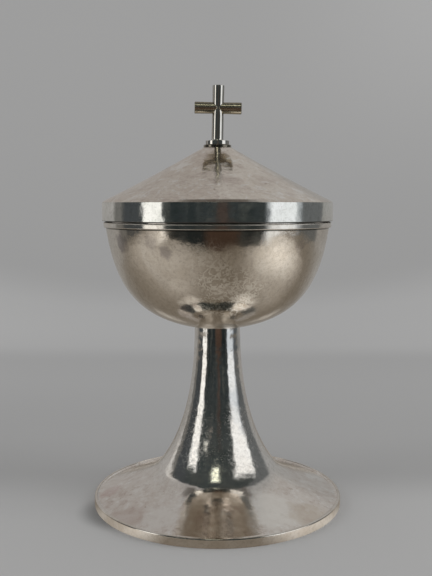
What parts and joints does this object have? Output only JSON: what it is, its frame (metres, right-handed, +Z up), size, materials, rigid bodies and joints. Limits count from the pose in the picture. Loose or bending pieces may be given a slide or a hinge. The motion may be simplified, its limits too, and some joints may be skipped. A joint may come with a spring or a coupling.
{
  "type": "ciborium",
  "caption": "Footed round cup with a trumpet-shaped stem and a conical lid that lifts off, turns, and carries a plain cross.",
  "frame": {"origin": "on the table, under the middle of the foot", "axes": "+Z up along the axis of the stem, bowl and lid; +X to the right along the arms of the cross; the front faces -Y"},
  "size_m": [0.132, 0.132, 0.2198],
  "materials": {
    "silver_satin": "satin",
    "silver_bright": "gloss",
    "steel": "satin"
  },
  "bodies": {
    "vessel": {"stem_foot": "silver_bright", "foot_rim": "silver_bright", "stem_top_plate": "silver_satin", "bowl_boss": "silver_satin", "tie_stud": "steel", "clamp_washer": "steel", "clamp_nut": "steel", "bowl": "silver_satin", "bowl_rim_ring": "silver_bright"},
    "lid_ring": {"lid_bezel": "silver_satin", "lid_seat_ring": "silver_satin"},
    "lid": {"lid_band": "silver_bright", "lid_cone": "silver_satin", "finial_washer": "silver_bright", "finial_collar": "silver_bright", "finial_inner_washer": "steel", "finial_nut": "steel", "cross_upright": "silver_bright", "cross_arm_left": "silver_bright", "cross_arm_right": "silver_bright"}
  },
  "joints": [
    {"name": "lid_lift", "type": "slide", "parent": "vessel", "child": "lid_ring", "axis": [0, 0, 1], "range_m": [0, 0.06]},
    {"name": "lid_turn", "type": "hinge", "parent": "lid_ring", "child": "lid", "pos_m": [0, 0, 0.15], "axis": [0, 0, 1], "continuous": true}
  ]
}
